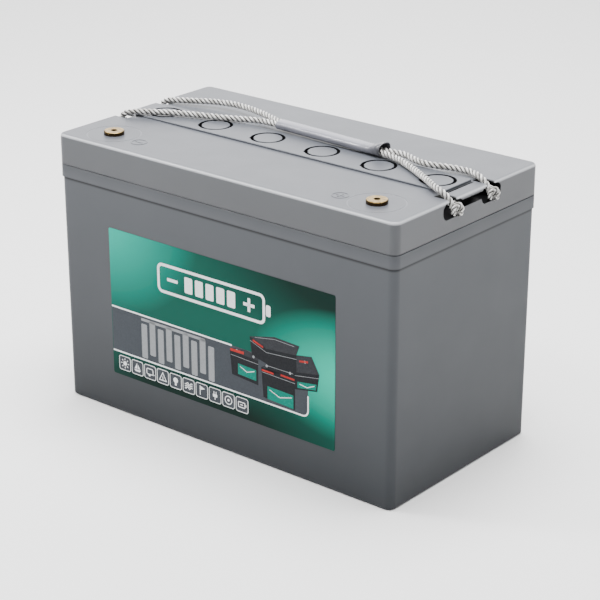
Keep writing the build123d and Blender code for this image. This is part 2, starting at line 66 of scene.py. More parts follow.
CAMERA_AIM = np.array([0.0073, 0.0, 0.0985])
FLOOR_SIZE = 30.0


def camera_axes(turn, rise):
    """Right, up and back directions of a camera turned about Z and raised."""
    back = np.array([math.sin(turn) * math.cos(rise), -math.cos(turn) * math.cos(rise), math.sin(rise)])
    right = np.array([math.cos(turn), math.sin(turn), 0.0])
    return right, np.cross(back, right), back


def placed(right, up, back, place):
    """The matrix of a camera or light with those three axes at that place."""
    matrix = np.eye(4)
    matrix[:3] = np.column_stack([right, up, back, place])
    return Matrix(matrix)


camera_right, camera_up, camera_back = camera_axes(CAMERA_TURN, CAMERA_RISE)
camera_place = CAMERA_AIM + CAMERA_REACH * camera_back
camera = bpy.data.objects.new("camera", bpy.data.cameras.new("camera"))
bpy.context.scene.collection.objects.link(camera)
camera.data.lens = CAMERA_LENS
camera.data.clip_end = 100.0
camera.matrix_world = placed(camera_right, camera_up, camera_back, camera_place)
bpy.context.scene.camera = camera


def blank_material(name):
    """A node material with only its Principled shader; returns material, tree and shader."""
    material = bpy.data.materials.new(name)
    material.use_nodes = True
    return material, material.node_tree, material.node_tree.nodes["Principled BSDF"]


def soft_light(name, place, target, size, power, tint):
    """A square area light of that size in metres, aimed from place at target."""
    light = bpy.data.objects.new(name, bpy.data.lights.new(name, "AREA"))
    bpy.context.scene.collection.objects.link(light)
    light.data.size = size
    light.data.energy = power
    light.data.color = tint
    back = np.array(place, float) - np.array(target, float)
    back /= np.linalg.norm(back)
    right = np.cross((0.0, 0.0, 1.0), back)
    right /= max(np.linalg.norm(right), 1e-6)
    light.matrix_world = placed(right, np.cross(back, right), back, place)


def add_node(tree, kind, inputs=None, **settings):
    """A shader node with its own settings; each input gets a link from a socket, or else a value."""
    made = tree.nodes.new("ShaderNode" + kind)
    for name, value in settings.items():
        setattr(made, name, value)
    for name, value in (inputs or {}).items():
        if isinstance(value, bpy.types.NodeSocket):
            tree.links.new(value, made.inputs[name])
        else:
            made.inputs[name].default_value = value
    return made


def colour_ramp(tree, factor, *stops):
    """The colour that a factor gives on a ramp through (position, colour) stops."""
    ramp = add_node(tree, "ValToRGB", {"Fac": factor})
    elements = ramp.color_ramp.elements
    for position, colour in stops[:-2]:
        elements.new(position)
    for element, (position, colour) in zip(elements, stops):
        element.position = position
        element.color = (*colour, 1)
    return ramp.outputs["Color"]


def mesh_piece(name, points, faces, smooth=True):
    """A mesh object at the origin from an array of points and an array of faces."""
    mesh = bpy.data.meshes.new(name)
    mesh.from_pydata(np.asarray(points, float).tolist(), [], np.asarray(faces, int).tolist())
    mesh.update()
    if smooth:
        mesh.polygons.foreach_set("use_smooth", np.ones(len(mesh.polygons), bool))
    piece = bpy.data.objects.new(name, mesh)
    bpy.context.scene.collection.objects.link(piece)
    return piece


half = FLOOR_SIZE / 2
floor_corners = [(-half, -half, 0), (half, -half, 0), (half, half, 0), (-half, half, 0)]
floor = mesh_piece("floor", floor_corners, [(0, 1, 2, 3)])
floor_paint, _, floor_shader = blank_material("floor_paint")
floor_shader.inputs["Base Color"].default_value = (0.93, 0.93, 0.93, 1)
floor_shader.inputs["Roughness"].default_value = 0.75
floor.data.materials.append(floor_paint)

world = bpy.data.worlds.new("studio")
world.use_nodes = True
sky = world.node_tree
way = add_node(sky, "TexCoord")
height = add_node(sky, "SeparateXYZ", {"Vector": way.outputs["Generated"]})
dome = colour_ramp(sky, height.outputs["Z"], (0.02, (0.10, 0.10, 0.105)), (0.75, (1.0, 1.0, 1.0)))
sky.links.new(dome, sky.nodes["Background"].inputs["Color"])
sky.nodes["Background"].inputs["Strength"].default_value = 0.95
bpy.context.scene.world = world
soft_light("top_softbox", (0.05, 0.1, 1.9), (0.0, 0.0, 0.1), 1.2, 88.0, (1.0, 1.0, 1.0))
soft_light("back_softbox", (-1.6, 1.9, 1.3), (0.0, 0.0, 0.15), 2.2, 40.0, (1.0, 1.0, 1.0))
soft_light("edge_light", (-0.95, -0.6, 1.3), (0.0, 0.0, 0.2), 0.32, 15.0, (1.0, 1.0, 1.0))
soft_light("left_softbox", (-1.5, -1.6, 0.8), (0.0, 0.0, 0.1), 0.9, 3.0, (0.97, 0.98, 1.0))

# ----------------------------------------------------------------------- ropes
# Two three-strand laid cords, 5 mm thick, run side by side through the sleeve.
# Each is a left run, a stretch inside the sleeve and a right run; the runs lie
# on the cover and turn down through its notches into their knots.
ROPE_DIAMETER = 0.005
STRAND_RADIUS = 0.00118
STRAND_OFFSET = 0.00133
STRANDS = 3
LAY_LENGTH = 0.0120
RING_STEP = 0.0006
RING_POINTS = 10
ROUTES = {
    ("front", "right"): [
        (0.0654653, 0.0189362, 0.2272),
        (0.0734530, 0.0184933, 0.2272),
        (0.0885, 0.0158, 0.2267),
        (0.1035, 0.0086, 0.2263),
        (0.1195, -0.0008, 0.2263),
        (0.1345, -0.0104, 0.2263),
        (0.1470, -0.0183, 0.2258),
        (0.1556, -0.0216, 0.2253),
        (0.1612, -0.0212, 0.2210),
        (0.1626, -0.0194, 0.2154),
    ],
    ("rear", "right"): [
        (0.0657532, 0.0241282, 0.2272),
        (0.0737409, 0.0236853, 0.2272),
        (0.0860, 0.0266, 0.2274),
        (0.0985, 0.0223, 0.2265),
        (0.1110, 0.0199, 0.2263),
        (0.1220, 0.0230, 0.2262),
        (0.1325, 0.0282, 0.2254),
        (0.1445, 0.0294, 0.2250),
        (0.1550, 0.0252, 0.2250),
        (0.1612, 0.0242, 0.2212),
        (0.1628, 0.0264, 0.2154),
    ],
    ("front", "left"): [
        (-0.0289532, 0.0241718, 0.2272),
        (-0.0369409, 0.0246147, 0.2272),
        (-0.0525, 0.0252, 0.2270),
        (-0.0685, 0.0199, 0.2264),
        (-0.0845, 0.0126, 0.2263),
        (-0.1010, 0.0072, 0.2264),
        (-0.1165, 0.0012, 0.2263),
        (-0.1315, -0.0070, 0.2263),
        (-0.1455, -0.0156, 0.2263),
        (-0.1550, -0.0203, 0.2253),
        (-0.1612, -0.0210, 0.2210),
        (-0.1626, -0.0194, 0.2154),
    ],
    ("rear", "left"): [
        (-0.0286653, 0.0293638, 0.2272),
        (-0.0366530, 0.0298067, 0.2272),
        (-0.0510, 0.0342, 0.2280),
        (-0.0675, 0.0390, 0.2282),
        (-0.0850, 0.0426, 0.2282),
        (-0.1020, 0.0432, 0.2278),
        (-0.1180, 0.0406, 0.2270),
        (-0.1325, 0.0352, 0.2260),
        (-0.1465, 0.0296, 0.2254),
        (-0.1552, 0.0274, 0.2249),
        (-0.1612, 0.0272, 0.2210),
        (-0.1626, 0.0274, 0.2154),
    ],
}


def smooth_line(points, closed=False):
    """The points of a quadratic NURBS curve that has the given control points."""
    curve = bpy.data.curves.new("route", "CURVE")
    curve.dimensions = "3D"
    spline = curve.splines.new("NURBS")
    spline.points.add(len(points) - 1)
    spline.points.foreach_set("co", np.hstack([points, np.ones((len(points), 1))]).ravel())
    spline.order_u = 3
    spline.use_endpoint_u = not closed
    spline.use_cyclic_u = closed
    spline.resolution_u = 24
    holder = bpy.data.objects.new("route", curve)
    mesh = bpy.data.meshes.new_from_object(holder)
    line = np.zeros(len(mesh.vertices) * 3)
    mesh.vertices.foreach_get("co", line)
    bpy.data.meshes.remove(mesh)
    bpy.data.objects.remove(holder)
    bpy.data.curves.remove(curve)
    return line.reshape(-1, 3)


def even_line(line, step):
    """The same line with points evenly spaced, about step apart, and the distance of each."""
    along = np.concatenate([[0], np.cumsum(np.linalg.norm(np.diff(line, axis=0), axis=1))])
    at = np.linspace(0, along[-1], max(4, int(math.ceil(along[-1] / step)) + 1))
    return np.stack([np.interp(at, along, line[:, k]) for k in range(3)], axis=1), at


def carried_frame(line):
    """Two directions across the line at each point, carried along it without twist."""
    tangent = np.gradient(line, axis=0)
    tangent /= np.linalg.norm(tangent, axis=1)[:, None]
    across = np.cross(tangent[0], (0.0, 0.0, 1.0))
    first = np.zeros_like(line)
    for i, t in enumerate(tangent):
        across = across - t * (across @ t)
        across /= np.linalg.norm(across)
        first[i] = across
    return first, np.cross(tangent, first)


def tube_faces(rings, around, start=0):
    """Quads between neighbouring rings of an open tube, whose points start at number start."""
    i, j = np.meshgrid(np.arange(rings - 1), np.arange(around), indexing="ij")
    k = (j + 1) % around
    sides = np.stack([i * around + j, i * around + k, (i + 1) * around + k, (i + 1) * around + j], axis=-1)
    return sides.reshape(-1, 4) + start


def rope_surface(line, step=RING_STEP, scale=1.0):
    """Points, quads, UVs and evenly spaced middle line of a laid rope along a line.

    Strand k's middle lies STRAND_OFFSET from the line at the angle
    2 pi (distance / LAY_LENGTH + k / STRANDS); a circle goes round it."""
    line, at = even_line(line, step)
    first, second = carried_frame(line)
    angle_round = np.linspace(0, 2 * math.pi, RING_POINTS, endpoint=False)
    points, faces, turns = [], [], []
    for k in range(STRANDS):
        angle = 2 * math.pi * (at / LAY_LENGTH + k / STRANDS)
        out = np.cos(angle)[:, None] * first + np.sin(angle)[:, None] * second
        side = np.cross(np.gradient(line, axis=0), out)
        side /= np.linalg.norm(side, axis=1)[:, None]
        middle = line + scale * STRAND_OFFSET * out
        ring = (
            np.cos(angle_round)[None, :, None] * out[:, None, :]
            + np.sin(angle_round)[None, :, None] * side[:, None, :]
        )
        strand = (middle[:, None, :] + scale * STRAND_RADIUS * ring).reshape(-1, 3)
        faces.append(tube_faces(len(line), RING_POINTS, k * len(strand)))
        points.append(strand)
        along = np.repeat(at[:, None], RING_POINTS, axis=1)
        round_it = np.repeat((angle_round / (2 * math.pi))[None, :], len(line), axis=0)
        turns.append(np.stack([along.ravel(), round_it.ravel()], axis=1))
    return np.concatenate(points), np.concatenate(faces), np.concatenate(turns), line


def close_ends(piece):
    """Fills the open ends of a piece's tubes with flat caps and turns every face outwards."""
    cut = bmesh.new()
    cut.from_mesh(piece.data)
    edges = [e for e in cut.edges if len(e.link_faces) == 1]
    bmesh.ops.holes_fill(cut, edges=edges, sides=0)
    bmesh.ops.recalc_face_normals(cut, faces=cut.faces)
    cut.to_mesh(piece.data)
    cut.free()


def laid_rope(name, line, scale=1.0):
    """A rope piece with a UV map: U is the distance along it in metres, V goes round a strand."""
    points, faces, turns, even = rope_surface(line, scale=scale)
    piece = mesh_piece(name, points, faces)
    layer = piece.data.uv_layers.new(name="along")
    corner = np.zeros(len(piece.data.loops), int)
    piece.data.loops.foreach_get("vertex_index", corner)
    uv = turns[corner]
    # the last quad of each ring runs from V just under 1 to 1, not back to 0
    uv = uv.reshape(-1, 4, 2)
    wraps = (uv[:, :, 1].max(axis=1) - uv[:, :, 1].min(axis=1)) > 0.5
    low = uv[:, :, 1] < 0.5
    uv[:, :, 1] += (wraps[:, None] & low) * 1.0
    layer.data.foreach_set("uv", uv.reshape(-1))
    close_ends(piece)
    piece.data.materials.append(rope_fibre)
    return piece, even


def noise(tree, vector, scale, detail, roughness=0.5):
    """The value of a noise of that many features to the metre."""
    inputs = {"Vector": vector, "Scale": scale, "Detail": detail, "Roughness": roughness}
    return add_node(tree, "TexNoise", inputs).outputs["Fac"]


def maths(tree, operation, *values):
    """The result of one sum on sockets or numbers."""
    return add_node(tree, "Math", dict(enumerate(values)), operation=operation).outputs[0]


def map_range(tree, value, span, result=(0.0, 1.0)):
    """A value carried from one span to another, and held at its ends."""
    inputs = {"Value": value, "From Min": span[0], "From Max": span[1]}
    inputs |= {"To Min": result[0], "To Max": result[1]}
    return add_node(tree, "MapRange", inputs).outputs["Result"]


def mixed(tree, factor, a, b, blend="MIX"):
    """Colour b over colour a by that factor."""
    inputs = {"Factor": factor, "A": a, "B": b}
    return add_node(tree, "Mix", inputs, data_type="RGBA", blend_type=blend).outputs["Result"]


def bumped(tree, shader, height, strength, distance):
    """Gives the shader a relief from a height."""
    bump = add_node(tree, "Bump", {"Height": height, "Strength": strength, "Distance": distance})
    tree.links.new(bump.outputs["Normal"], shader.inputs["Normal"])


YARN_WAVES = 2600.0
YARNS_ROUND = 6


def rope_fibre_material():
    """White synthetic yarn: slanted filaments from the UV map, painted shade in the creases, a soiled tint.

    U is metres along the rope and V the share of a turn round a strand, 0 facing
    outwards, so the cosine of V's angle is low in the creases between strands."""
    material, tree, shader = blank_material("rope_fibre")
    uv = add_node(tree, "UVMap", uv_map="along")
    split = add_node(tree, "SeparateXYZ", {"Vector": uv.outputs["UV"]})
    along = maths(tree, "MULTIPLY", split.outputs["X"], YARN_WAVES)
    turn = maths(tree, "MULTIPLY", split.outputs["Y"], YARNS_ROUND * 2 * math.pi)
    wave = maths(tree, "SINE", maths(tree, "ADD", along, turn))
    place = add_node(tree, "TexCoord").outputs["Object"]
    soiled, clean = (0.33, (0.42, 0.41, 0.38)), (0.58, (0.86, 0.85, 0.83))
    tint = colour_ramp(tree, noise(tree, place, 260.0, 4.0), soiled, clean)
    # painted shade: the colour darkens where a strand turns into the crease between strands
    outward = maths(tree, "COSINE", maths(tree, "MULTIPLY", split.outputs["Y"], 2 * math.pi))
    crease = map_range(tree, outward, (-0.25, 0.75), (0.10, 1.0))
    tree.links.new(mixed(tree, 1.0, tint, crease, "MULTIPLY"), shader.inputs["Base Color"])
    bumped(tree, shader, wave, 0.5, 0.0002)
    shader.inputs["Roughness"].default_value = 0.62
    shader.inputs["Sheen Weight"].default_value = 0.25
    return material


rope_fibre = rope_fibre_material()
rope_pieces = {}
for (name, side), route in ROUTES.items():
    line = smooth_line(np.array(route))
    piece, even = laid_rope(f"laid_rope_{name}_{side}", line)
    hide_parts(f"rope_{name}_{side}")
    rope_pieces[name, side] = (piece, even)

for name in ("front", "rear"):
    ends = np.array([ROUTES[name, "left"][0], ROUTES[name, "right"][0]])
    steps = np.linspace(0, 1, 12)[:, None]
    core, _ = laid_rope(f"laid_rope_{name}_core", ends[0] + steps * (ends[1] - ends[0]))
    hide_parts(f"rope_{name}_core")
    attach(core, "handle")

# ----------------------------------------------------------------------- knots
# Each rope end is jammed in its cup as a stopper: its last stretch, pressed
# thinner, goes one and a half times round, from the cup's inside to a round
# rosette of turns on its outside, where its last eighth lies flat.
KNOT_TURNS = 1.55
KNOT_CORD = 0.0036
KNOT_POINTS = 90
KNOT_PACE = 2.3
KNOT_SWAY = 0.10
for side_name, side in (("left", -1), ("right", 1)):
    for name in ("front", "rear"):
        low, high = (np.array(c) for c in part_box(f"knot_{name}_{side_name}"))
        middle, reach = (low + high) / 2, (high - low) / 2 - KNOT_CORD / 2
        t = np.linspace(0, 1, KNOT_POINTS)
        turn = math.pi / 2 - 2 * math.pi * KNOT_TURNS * t
        sway = 1 - KNOT_SWAY * np.sin(3 * turn) ** 2
        outward = np.clip(KNOT_PACE * t - 1, -1, 1)
        ring = np.stack([outward, sway * np.cos(turn), sway * np.sin(turn)], axis=1)
        line = middle + ring * reach * np.array([side, 1.0, 1.0])
        knot, _ = laid_rope(f"stopper_knot_{name}_{side_name}", line, scale=KNOT_CORD / ROPE_DIAMETER)
        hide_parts(f"knot_{name}_{side_name}")
        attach(knot, "battery")
        piece, even = rope_pieces[name, side_name]
        route = ROUTES[name, side_name]
        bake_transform(piece)


# ---------------------------------------------------------------- grip sleeve
# A soft vinyl tube pressed oval round both ropes.  Its right end is creased
# and belled open, with its upper lip pushed up; the left end is cut square.
SLEEVE_LEFT = np.array([-0.0348, 0.0271, 0.2272])
SLEEVE_RIGHT = np.array([0.0716, 0.0212, 0.2272])
SLEEVE_HALF_WIDTH = 0.0061
SLEEVE_HALF_HEIGHT = 0.0036
SLEEVE_WALL = 0.0008
BELL_LENGTH = 0.014
BELL_HALF_WIDTH = 0.0072
BELL_HALF_HEIGHT = 0.0055
BELL_RISE = 0.0019
SECTION_POWER = 2.5
CREASE_PITCH = 0.0052
CREASE_DEPTH = 0.00030
DENT_PITCH = 0.031
DENT_DEPTH = 0.00008
SLEEVE_STEPS = 220
SLEEVE_ROUND = 72


def sleeve_points(distance, inset, angle):
    """Point of the sleeve at a distance from its left end, inset from its outside, round it at angle.

    The section is a super-ellipse.  Its half axes and its middle's height grow
    to the bell's by a smooth step over the last BELL_LENGTH; creases round the
    neck and shallow dents along the whole of it pull the skin in."""
    along = SLEEVE_RIGHT - SLEEVE_LEFT
    length = np.linalg.norm(along)
    along = along / length
    across = np.array([-along[1], along[0], 0.0])
    open_up = np.clip((distance - (length - BELL_LENGTH)) / BELL_LENGTH, 0, 1)
    open_up = open_up**2 * (3 - 2 * open_up)
    half_width = SLEEVE_HALF_WIDTH + (BELL_HALF_WIDTH - SLEEVE_HALF_WIDTH) * open_up - inset
    half_height = SLEEVE_HALF_HEIGHT + (BELL_HALF_HEIGHT - SLEEVE_HALF_HEIGHT) * open_up - inset
    fade = np.clip((distance - (length - 1.7 * BELL_LENGTH)) / BELL_LENGTH, 0, 1)
    crease = 0.5 + 0.5 * np.sin(2 * math.pi * distance / CREASE_PITCH + 1.6 * np.cos(angle))
    dent = 0.5 + 0.5 * np.sin(2 * math.pi * distance / DENT_PITCH + 2.0 * np.sin(angle))
    pull = CREASE_DEPTH * crease**2 * fade + DENT_DEPTH * dent
    outer = np.clip(1 - inset / SLEEVE_WALL, 0, 1)
    cosine, sine = np.cos(angle), np.sin(angle)
    bulge = (np.abs(cosine) ** SECTION_POWER + np.abs(sine) ** SECTION_POWER) ** (-1 / SECTION_POWER)
    side = (half_width - pull * outer) * cosine * bulge
    up = (half_height - pull * outer) * sine * bulge + BELL_RISE * open_up
    return (
        SLEEVE_LEFT
        + distance[..., None] * along
        + side[..., None] * across
        + up[..., None] * np.array([0.0, 0.0, 1.0])
    )


sleeve_length = np.linalg.norm(SLEEVE_RIGHT - SLEEVE_LEFT)
lip = SLEEVE_WALL / 2
run = np.linspace(lip, sleeve_length - lip, SLEEVE_STEPS)
bend = np.linspace(0, math.pi, 8)[1:-1]
right_lip, left_lip = sleeve_length - lip + lip * np.sin(bend), lip - lip * np.sin(bend)
distance = np.concatenate([run, right_lip, run[::-1], left_lip])
inset = np.concatenate([
    np.zeros(SLEEVE_STEPS),
    lip * (1 - np.cos(bend)),
    np.full(SLEEVE_STEPS, SLEEVE_WALL),
    lip * (1 + np.cos(bend)),
])
angle = np.linspace(0, 2 * math.pi, SLEEVE_ROUND, endpoint=False)


def wrapped_faces(rows, around):
    """Quads on a grid that closes on itself both ways."""
    i, j = np.meshgrid(np.arange(rows), np.arange(around), indexing="ij")
    k, m = (i + 1) % rows, (j + 1) % around
    return np.stack([i * around + j, i * around + m, k * around + m, k * around + j], axis=-1).reshape(-1, 4)


whole = np.zeros((len(distance), SLEEVE_ROUND))
points = sleeve_points(distance[:, None] + whole, inset[:, None] + whole, angle + whole)
faces = wrapped_faces(len(distance), SLEEVE_ROUND)
sleeve = mesh_piece("grip_sleeve", points.reshape(-1, 3), faces)
close_ends(sleeve)


def vinyl_material():
    """Grey vinyl: faint drag lines along it, darker towards the belled end."""
    material, tree, shader = blank_material("grip_vinyl")
    place = add_node(tree, "TexCoord").outputs["Object"]
    stretch = add_node(tree, "Mapping", {"Vector": place, "Scale": (40.0, 900.0, 900.0)})
    drag = noise(tree, stretch.outputs["Vector"], 1.0, 3.0)
    split = add_node(tree, "SeparateXYZ", {"Vector": place})
    # the tone darkens towards the belled end
    soiled = map_range(tree, split.outputs["X"], (0.050, 0.070))
    tone = colour_ramp(tree, drag, (0.35, (0.190, 0.192, 0.222)), (0.65, (0.250, 0.252, 0.288)))
    colour = mixed(tree, soiled, tone, (0.090, 0.090, 0.100, 1))
    tree.links.new(colour, shader.inputs["Base Color"])
    bumped(tree, shader, drag, 0.25, 0.0001)
    shader.inputs["Roughness"].default_value = 0.27
    shader.inputs["Coat Weight"].default_value = 0.3
    shader.inputs["Coat Roughness"].default_value = 0.18
    return material


sleeve.data.materials.append(vinyl_material())
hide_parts("handle_grip")
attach(sleeve, "handle")

# ----------------------------------------------------- moulded case and cover
# Container and cover are injection moulded in the same grey plastic with a
# fine satin texture.  Painted shade darkens the walls towards the base, the
# cover's skirt, the line under the collar, the rings round the vent discs and
# the rope slots, and a painted highlight brightens the cover's top edge.
COVER_TOP = 0.222
COLLAR_LOW = 0.1872
SEAM = 0.1975
PAINTED_SHADE = (0.006, 0.006, 0.007)
MOULD_GRAIN = 1500.0


def moulded_plastic(name, tones, hollows, roughness, depth, shine):
    """Grey plastic whose tone follows the height, as tones says: (height, colour) pairs.

    A broad noise clouds the tone, a fine one gives the moulded texture and a
    third the uneven gloss.  Painted shade darkens the hollows, each a box given
    by its middle and half size in |x|, y and z."""
    material, tree, shader = blank_material(name)
    place = add_node(tree, "TexCoord").outputs["Object"]
    split = add_node(tree, "SeparateXYZ", {"Vector": place})
    rise = map_range(tree, split.outputs["Z"], (0.0, COVER_TOP))
    tone = colour_ramp(tree, rise, *[(height / COVER_TOP, colour) for height, colour in tones])
    cloud = map_range(tree, noise(tree, place, 9.0, 6.0), (0.3, 0.7), (0.94, 1.06))
    surface = mixed(tree, 1.0, tone, cloud, "MULTIPLY")
    axes = (maths(tree, "ABSOLUTE", split.outputs["X"]), split.outputs["Y"], split.outputs["Z"])
    # painted shade: inside each hollow's box the colour turns near black
    for middle, reach in hollows:
        near_x, near_y, near_z = (maths(tree, "COMPARE", *near) for near in zip(axes, middle, reach))
        inside = maths(tree, "MULTIPLY", maths(tree, "MULTIPLY", near_x, near_y), near_z)
        surface = mixed(tree, inside, surface, (*PAINTED_SHADE, 1))
    tree.links.new(surface, shader.inputs["Base Color"])
    bumped(tree, shader, noise(tree, place, MOULD_GRAIN, 3.0), 0.3, depth)
    gloss = map_range(tree, noise(tree, place, 45.0, 5.0), (0.0, 1.0), (roughness - 0.06, roughness + 0.06))
    tree.links.new(gloss, shader.inputs["Roughness"])
    shader.inputs["Specular IOR Level"].default_value = shine
    return material


def dress(node, material):
    """Gives a CAD node its finish in place of its flat colour."""
    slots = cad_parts[node].data.materials
    slots.clear()
    slots.append(material)


# Painted shade: the case's tone darkens towards the base, with a painted shadow band just under the collar.
case_grey = moulded_plastic(
    "case_grey",
    (
        (0.0, (0.024, 0.027, 0.031)),
        (COLLAR_LOW - 0.0022, (0.076, 0.081, 0.090)),
        # painted shadow band under the collar's overhang
        (COLLAR_LOW - 0.0012, (0.012, 0.013, 0.015)),
        (COLLAR_LOW - 0.0002, (0.012, 0.013, 0.015)),
        (COLLAR_LOW + 0.0003, (0.088, 0.093, 0.103)),
        (COLLAR_LOW + 0.0100, (0.070, 0.074, 0.082)),
    ),
    (),
    roughness=0.45,
    depth=0.00006,
    shine=0.20,
)
cover_grey = moulded_plastic(
    "cover_grey",
    (
        (SEAM, (0.030, 0.032, 0.036)),
        # painted shade: the cover's skirt is darker than its top
        (SEAM + 0.0009, (0.058, 0.061, 0.068)),
        (COVER_TOP - 0.0026, (0.064, 0.068, 0.076)),
        # painted highlight: a bright band along the rounding of the cover's top edge
        (COVER_TOP - 0.0016, (0.440, 0.450, 0.470)),
        (COVER_TOP - 0.0009, (0.520, 0.530, 0.550)),
        (COVER_TOP - 0.0004, (0.086, 0.092, 0.106)),
        (COVER_TOP, (0.086, 0.092, 0.106)),
    ),
    (
        # painted shade in the rings round the vent discs, then in the rope pockets and slits
        ((0.0745, 0.0026, 0.2146), (0.0745, 0.0143, 0.0086)),
        ((0.1565, 0.0026, 0.2146), (0.0070, 0.0360, 0.0067)),
        ((0.1640, 0.0026, 0.2136), (0.0008, 0.0360, 0.0057)),
    ),
    roughness=0.36,
    depth=0.00005,
    shine=0.5,
)
dress("container", case_grey)
dress("cover", cover_grey)
for i in range(1, 7):
    dress(f"vent_cover_{i}", cover_grey)

# ------------------------------------------------------------------- terminals
# Turned brass inserts with a tapped bore.  The faces are bright with fine
# turning rings; the rims and shanks are painted nearly black as painted shade.
TERMINAL_X = {"negative": -0.1285, "positive": 0.1285}
TERMINAL_Y = -0.062
THREAD_PITCH = 0.001
THREAD_CREST_R = 0.00236
THREAD_ROOT_R = 0.00256
THREAD_LENGTH = 0.0105
THREAD_START = 0.0009
THREAD_WALL = 0.0001
TURNING_PITCH = 0.00042
SIDEWAYS_SHADE = (0.060, 0.038, 0.018)


def turned_brass(name, x):
    """Brass: rings round the bore from the distance to its axis, painted shade where a face looks sideways.
    """
    material, tree, shader = blank_material(name)
    place = add_node(tree, "TexCoord").outputs["Object"]
    flat = {"Vector": place, "Location": (-x, -TERMINAL_Y, 0.0), "Scale": (1.0, 1.0, 0.0)}
    centre = add_node(tree, "Mapping", flat).outputs["Vector"]
    radius = add_node(tree, "VectorMath", {0: centre}, operation="LENGTH").outputs["Value"]
    wave = maths(tree, "SINE", maths(tree, "MULTIPLY", radius, 2 * math.pi / TURNING_PITCH))
    facing = add_node(tree, "SeparateXYZ", {"Vector": add_node(tree, "NewGeometry").outputs["Normal"]})
    stained, polished = (0.30, (0.20, 0.12, 0.035)), (0.62, (0.52, 0.37, 0.15))
    bright = colour_ramp(tree, noise(tree, place, 420.0, 5.0), stained, polished)
    upward = map_range(tree, facing.outputs["Z"], (0.35, 0.95))
    # painted shade: faces that look sideways get the dark brown, upward faces the brass
    tree.links.new(mixed(tree, upward, (*SIDEWAYS_SHADE, 1), bright), shader.inputs["Base Color"])
    bumped(tree, shader, wave, 0.35, 0.00004)
    shader.inputs["Metallic"].default_value = 1.0
    shader.inputs["Roughness"].default_value = 0.34
    return material


def thread_surface(centre, top):
    """The tapped bore's thread: radius against height is a rounded zigzag that turns with the angle.

    The phase is depth / THREAD_PITCH + angle / 2 pi; its height above the root
    fades to nothing over the first and last pitch, and the back is a plain tube."""
    depth = np.linspace(0, THREAD_LENGTH, 170)[:, None]
    angle = np.linspace(0, 2 * math.pi, 48, endpoint=False)[None, :]
    phase = depth / THREAD_PITCH + angle / (2 * math.pi)
    ridge = 0.5 - 0.5 * np.cos(2 * math.pi * phase)
    ends = np.clip(np.minimum(depth, THREAD_LENGTH - depth) / THREAD_PITCH, 0, 1)
    radius = THREAD_ROOT_R - (THREAD_ROOT_R - THREAD_CREST_R) * ridge * ends
    ways = np.stack([np.cos(angle), np.sin(angle), 0 * angle], axis=-1)
    axis = np.stack([centre[0] + 0 * depth, centre[1] + 0 * depth, top - depth], axis=-1)
    back = np.full_like(radius, THREAD_ROOT_R + THREAD_WALL)
    return np.concatenate([axis + radius[..., None] * ways, (axis + back[..., None] * ways)[::-1]])


for pole, x in TERMINAL_X.items():
    brass = turned_brass(f"{pole}_brass", x)
    dress(f"{pole}_terminal", brass)
    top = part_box(f"{pole}_terminal")[1][2] - THREAD_START
    skin = thread_surface((x, TERMINAL_Y), top)
    thread = mesh_piece(f"{pole}_thread", skin.reshape(-1, 3), wrapped_faces(*skin.shape[:2]))
    close_ends(thread)
    thread.data.materials.append(brass)
    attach(thread, "battery")

# ------------------------------------------------------------------ label film
# A glossy printed film on the long side.  Its ground is a green wash: mint at
# the upper left and at the middle of the right edge, dark at the other corners.
film_low, film_high = (np.array(c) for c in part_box("front_label"))
GROUND = (0.000, 0.072, 0.050, 1)
WASHES = (
    # middle x, z; reach x, z; colour; strength
    (-0.120, 0.165, 0.100, 0.080, (0.000, 0.400, 0.300, 1), 1.15),
    (0.118, 0.170, 0.150, 0.072, (0.000, 0.016, 0.011, 1), 1.6),
    (0.122, 0.092, 0.090, 0.052, (0.000, 0.460, 0.320, 1), 1.15),
    (-0.020, 0.028, 0.180, 0.050, (0.000, 0.012, 0.008, 1), 1.5),
)


def film_material():
    """The ground of the print: washes laid over the green, each full at its middle and none at its reach."""
    material, tree, shader = blank_material("label_ground")
    place = add_node(tree, "TexCoord").outputs["Object"]
    colour = GROUND
    for x, z, reach_x, reach_z, ink, strength in WASHES:
        shift, size = (-x / reach_x, 0.0, -z / reach_z), (1 / reach_x, 0.0, 1 / reach_z)
        moved = {"Vector": place, "Location": shift, "Scale": size}
        spot = add_node(tree, "Mapping", moved).outputs["Vector"]
        fade = add_node(tree, "TexGradient", {"Vector": spot}, gradient_type="SPHERICAL").outputs["Fac"]
        amount = add_node(tree, "Math", {0: fade, 1: strength}, operation="MULTIPLY", use_clamp=True)
        colour = mixed(tree, amount.outputs[0], colour, ink)
    tree.links.new(colour, shader.inputs["Base Color"])
    bumped(tree, shader, noise(tree, place, 60.0, 2.0), 0.08, 0.0004)
    shader.inputs["Roughness"].default_value = 0.3
    shader.inputs["Specular IOR Level"].default_value = 0.06
    return material


dress("front_label", film_material())

# -------------------------------------------------------------- label printing
# Raised screen inks on the film, a few hundredths of a millimetre thick: a
# grey band with plate bars, a plain battery sign, a row of use pictograms and
# a picture of four batteries.  Outlines are in mm from the lower left corner.
INK_STEP = 0.00002
film_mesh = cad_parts["front_label"].data
film_points = np.zeros(len(film_mesh.vertices) * 3)
film_mesh.vertices.foreach_get("co", film_points)
film_points = film_points.reshape(-1, 3)
film_middle = (film_low[2] + film_high[2]) / 2
FRONT_LOW = film_points[film_points[:, 2] < film_middle, 1].min()
FRONT_HIGH = film_points[film_points[:, 2] > film_middle, 1].min()


def filled(outline):
    """A flat shape: its outline at the ink's front (1) and back (0), and a cap on each."""
    outline = np.asarray(outline, float)
    n = len(outline)
    points = np.concatenate([np.column_stack([outline, np.full(n, w)]) for w in (1.0, 0.0)])
    return points, tube_faces(2, n).tolist() + [list(range(n)), list(range(n, 2 * n))]


